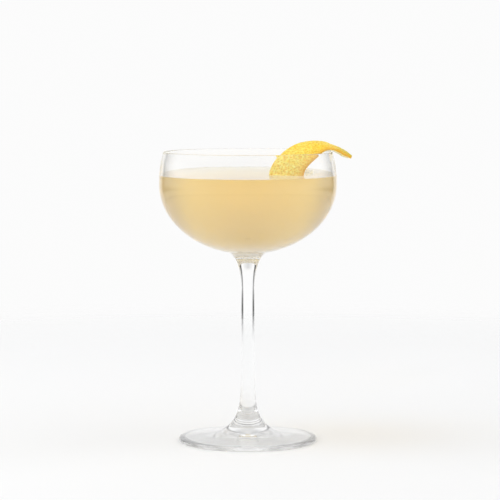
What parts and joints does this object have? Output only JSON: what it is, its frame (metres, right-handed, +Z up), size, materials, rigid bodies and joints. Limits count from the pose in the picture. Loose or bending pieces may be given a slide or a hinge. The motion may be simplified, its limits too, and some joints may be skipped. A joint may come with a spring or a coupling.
{
  "type": "cocktail in a coupe glass",
  "caption": "Stemmed coupe glass of pale golden cocktail, garnished with a curl of lemon peel that hooks over the rim",
  "frame": {"origin": "centre of the foot's flat underside, on the axis of the glass, at table height", "axes": "+Z is up along the stem, +X points to the side where the peel hangs over the rim, and -Y faces the viewer who sees the peel's skin"},
  "size_m": [0.1032, 0.095, 0.1618],
  "materials": {
    "clear_glass": "polished, colourless",
    "golden_drink": "wet, slightly cloudy pale gold",
    "lemon_zest": "waxy, finely pitted lemon skin"
  },
  "bodies": {
    "root": {"glass": "clear_glass", "drink": "golden_drink", "lemon_peel": "lemon_zest"}
  },
  "joints": []
}
